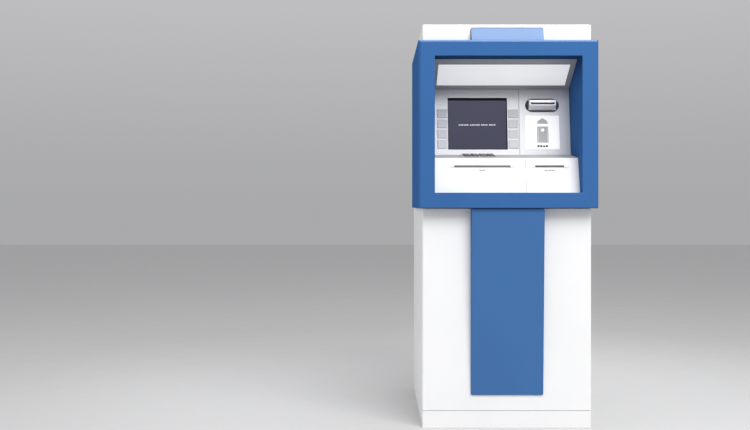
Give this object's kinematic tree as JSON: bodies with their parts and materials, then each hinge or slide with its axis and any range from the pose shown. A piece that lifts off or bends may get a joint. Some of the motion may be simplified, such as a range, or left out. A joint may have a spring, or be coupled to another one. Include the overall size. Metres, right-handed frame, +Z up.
{
  "type": "cash machine",
  "caption": "Free-standing cash machine: white steel cabinet round a safe, front service door, and a blue-framed user unit with screen, keypad, card, note and receipt slots.",
  "frame": {"origin": "middle of the bounding box at floor level", "axes": "+Z up, -Y towards the user, +X to the user's right"},
  "size_m": [0.633, 0.745, 1.432],
  "materials": {
    "cabinet_white": "white powder coat on folded steel sheet, satin",
    "accent_blue": "mid-blue satin moulded plastic",
    "fascia_silver": "silver-grey metallic paint on a moulded fascia",
    "console_white": "white satin moulded plastic",
    "canopy_grey": "grey fine-textured plastic",
    "diffuser_white": "opal white light diffuser, lit from behind",
    "display_dark": "dark blue-grey display behind its cover glass",
    "key_grey": "light grey key caps",
    "pin_key_dark": "dark keypad keys",
    "pad_steel": "brushed steel keypad body",
    "bezel_metal": "polished and satin metal card bezel",
    "placard_white": "white placard",
    "safe_grey": "grey hammer paint on steel",
    "zinc_steel": "zinc-plated steel sheet",
    "mechanism_black": "black structural plastic",
    "lock_chrome": "chromed lock parts"
  },
  "bodies": {
    "cabinet": {"base_plinth": "cabinet_white", "cabinet_side_left": "cabinet_white", "cabinet_side_right": "cabinet_white", "rear_panel": "cabinet_white", "cable_gland": "mechanism_black", "top_cover": "cabinet_white", "top_trim": "accent_blue", "safe_body": "safe_grey", "safe_door": "safe_grey", "cash_dispenser": "zinc_steel", "cash_cassette_lower": "mechanism_black", "cash_cassette_upper": "mechanism_black", "slide_rail_left": "zinc_steel", "slide_rail_right": "zinc_steel"},
    "front_door": {"front_door": "cabinet_white", "door_trim": "accent_blue"},
    "door_lock": {"door_lock": "lock_chrome"},
    "safe_dial": {"safe_dial": "lock_chrome"},
    "safe_handle": {"safe_handle": "lock_chrome"},
    "user_unit": {"surround_frame": "accent_blue", "unit_chassis": "zinc_steel", "canopy_housing": "canopy_grey", "canopy_diffuser": "diffuser_white", "screen_fascia": "fascia_silver", "display_panel": "display_dark", "card_fascia": "fascia_silver", "card_bezel": "bezel_metal", "card_placard": "placard_white", "card_reader": "mechanism_black", "console_left": "console_white", "console_right": "console_white", "keypad_housing": "pad_steel", "note_presenter": "mechanism_black", "receipt_printer": "mechanism_black", "pc_core": "safe_grey"},
    "cash_shutter": {"cash_shutter": "zinc_steel"},
    "function_key_left_1": {"function_key_left_1": "key_grey"},
    "function_key_left_2": {"function_key_left_2": "key_grey"},
    "function_key_left_3": {"function_key_left_3": "key_grey"},
    "function_key_left_4": {"function_key_left_4": "key_grey"},
    "function_key_right_1": {"function_key_right_1": "key_grey"},
    "function_key_right_2": {"function_key_right_2": "key_grey"},
    "function_key_right_3": {"function_key_right_3": "key_grey"},
    "function_key_right_4": {"function_key_right_4": "key_grey"},
    "pin_key_0": {"pin_key_0": "pin_key_dark"},
    "pin_key_1": {"pin_key_1": "pin_key_dark"},
    "pin_key_2": {"pin_key_2": "pin_key_dark"},
    "pin_key_3": {"pin_key_3": "pin_key_dark"},
    "pin_key_4": {"pin_key_4": "pin_key_dark"},
    "pin_key_5": {"pin_key_5": "pin_key_dark"},
    "pin_key_6": {"pin_key_6": "pin_key_dark"},
    "pin_key_7": {"pin_key_7": "pin_key_dark"},
    "pin_key_8": {"pin_key_8": "pin_key_dark"},
    "pin_key_9": {"pin_key_9": "pin_key_dark"},
    "pin_key_blank": {"pin_key_blank": "pin_key_dark"},
    "pin_key_cancel": {"pin_key_cancel": "pin_key_dark"},
    "pin_key_confirm": {"pin_key_confirm": "pin_key_dark"},
    "pin_key_correct": {"pin_key_correct": "pin_key_dark"},
    "pin_key_double_zero": {"pin_key_double_zero": "pin_key_dark"},
    "pin_key_spare": {"pin_key_spare": "pin_key_dark"}
  },
  "joints": [
    {"name": "front_door_hinge", "type": "hinge", "parent": "cabinet", "child": "front_door", "pos_m": [-0.292, -0.3175, 0.4], "axis": [0, 0, -1], "range_deg": [0, 105]},
    {"name": "door_lock_turn", "type": "hinge", "parent": "cabinet", "child": "door_lock", "pos_m": [0.3, -0.285, 0.7], "axis": [-1, 0, 0], "range_deg": [0, 90]},
    {"name": "safe_dial_turn", "type": "hinge", "parent": "cabinet", "child": "safe_dial", "pos_m": [0.1, -0.2533, 0.52], "axis": [0, -1, 0], "continuous": true},
    {"name": "safe_handle_turn", "type": "hinge", "parent": "cabinet", "child": "safe_handle", "pos_m": [0.1, -0.2533, 0.4], "axis": [0, 1, 0], "range_deg": [0, 90]},
    {"name": "user_unit_slide", "type": "slide", "parent": "cabinet", "child": "user_unit", "axis": [0, -1, 0], "range_m": [0, 0.35]},
    {"name": "cash_shutter_lift", "type": "slide", "parent": "user_unit", "child": "cash_shutter", "axis": [0, 0.248, 0.9688], "range_m": [0, 0.012]},
    {"name": "function_key_left_1_press", "type": "slide", "parent": "user_unit", "child": "function_key_left_1", "axis": [0, 0.9907, -0.1358], "range_m": [0, 0.002], "stiffness_N_per_m": 600},
    {"name": "function_key_left_2_press", "type": "slide", "parent": "user_unit", "child": "function_key_left_2", "axis": [0, 0.9907, -0.1358], "range_m": [0, 0.002], "stiffness_N_per_m": 600},
    {"name": "function_key_left_3_press", "type": "slide", "parent": "user_unit", "child": "function_key_left_3", "axis": [0, 0.9907, -0.1358], "range_m": [0, 0.002], "stiffness_N_per_m": 600},
    {"name": "function_key_left_4_press", "type": "slide", "parent": "user_unit", "child": "function_key_left_4", "axis": [0, 0.9907, -0.1358], "range_m": [0, 0.002], "stiffness_N_per_m": 600},
    {"name": "function_key_right_1_press", "type": "slide", "parent": "user_unit", "child": "function_key_right_1", "axis": [0, 0.9907, -0.1358], "range_m": [0, 0.002], "stiffness_N_per_m": 600},
    {"name": "function_key_right_2_press", "type": "slide", "parent": "user_unit", "child": "function_key_right_2", "axis": [0, 0.9907, -0.1358], "range_m": [0, 0.002], "stiffness_N_per_m": 600},
    {"name": "function_key_right_3_press", "type": "slide", "parent": "user_unit", "child": "function_key_right_3", "axis": [0, 0.9907, -0.1358], "range_m": [0, 0.002], "stiffness_N_per_m": 600},
    {"name": "function_key_right_4_press", "type": "slide", "parent": "user_unit", "child": "function_key_right_4", "axis": [0, 0.9907, -0.1358], "range_m": [0, 0.002], "stiffness_N_per_m": 600},
    {"name": "pin_key_0_press", "type": "slide", "parent": "user_unit", "child": "pin_key_0", "axis": [0, 0.1463, -0.9892], "range_m": [0, 0.002], "stiffness_N_per_m": 600},
    {"name": "pin_key_1_press", "type": "slide", "parent": "user_unit", "child": "pin_key_1", "axis": [0, 0.1463, -0.9892], "range_m": [0, 0.002], "stiffness_N_per_m": 600},
    {"name": "pin_key_2_press", "type": "slide", "parent": "user_unit", "child": "pin_key_2", "axis": [0, 0.1463, -0.9892], "range_m": [0, 0.002], "stiffness_N_per_m": 600},
    {"name": "pin_key_3_press", "type": "slide", "parent": "user_unit", "child": "pin_key_3", "axis": [0, 0.1463, -0.9892], "range_m": [0, 0.002], "stiffness_N_per_m": 600},
    {"name": "pin_key_4_press", "type": "slide", "parent": "user_unit", "child": "pin_key_4", "axis": [0, 0.1463, -0.9892], "range_m": [0, 0.002], "stiffness_N_per_m": 600},
    {"name": "pin_key_5_press", "type": "slide", "parent": "user_unit", "child": "pin_key_5", "axis": [0, 0.1463, -0.9892], "range_m": [0, 0.002], "stiffness_N_per_m": 600},
    {"name": "pin_key_6_press", "type": "slide", "parent": "user_unit", "child": "pin_key_6", "axis": [0, 0.1463, -0.9892], "range_m": [0, 0.002], "stiffness_N_per_m": 600},
    {"name": "pin_key_7_press", "type": "slide", "parent": "user_unit", "child": "pin_key_7", "axis": [0, 0.1463, -0.9892], "range_m": [0, 0.002], "stiffness_N_per_m": 600},
    {"name": "pin_key_8_press", "type": "slide", "parent": "user_unit", "child": "pin_key_8", "axis": [0, 0.1463, -0.9892], "range_m": [0, 0.002], "stiffness_N_per_m": 600},
    {"name": "pin_key_9_press", "type": "slide", "parent": "user_unit", "child": "pin_key_9", "axis": [0, 0.1463, -0.9892], "range_m": [0, 0.002], "stiffness_N_per_m": 600},
    {"name": "pin_key_blank_press", "type": "slide", "parent": "user_unit", "child": "pin_key_blank", "axis": [0, 0.1463, -0.9892], "range_m": [0, 0.002], "stiffness_N_per_m": 600},
    {"name": "pin_key_cancel_press", "type": "slide", "parent": "user_unit", "child": "pin_key_cancel", "axis": [0, 0.1463, -0.9892], "range_m": [0, 0.002], "stiffness_N_per_m": 600},
    {"name": "pin_key_confirm_press", "type": "slide", "parent": "user_unit", "child": "pin_key_confirm", "axis": [0, 0.1463, -0.9892], "range_m": [0, 0.002], "stiffness_N_per_m": 600},
    {"name": "pin_key_correct_press", "type": "slide", "parent": "user_unit", "child": "pin_key_correct", "axis": [0, 0.1463, -0.9892], "range_m": [0, 0.002], "stiffness_N_per_m": 600},
    {"name": "pin_key_double_zero_press", "type": "slide", "parent": "user_unit", "child": "pin_key_double_zero", "axis": [0, 0.1463, -0.9892], "range_m": [0, 0.002], "stiffness_N_per_m": 600},
    {"name": "pin_key_spare_press", "type": "slide", "parent": "user_unit", "child": "pin_key_spare", "axis": [0, 0.1463, -0.9892], "range_m": [0, 0.002], "stiffness_N_per_m": 600}
  ]
}
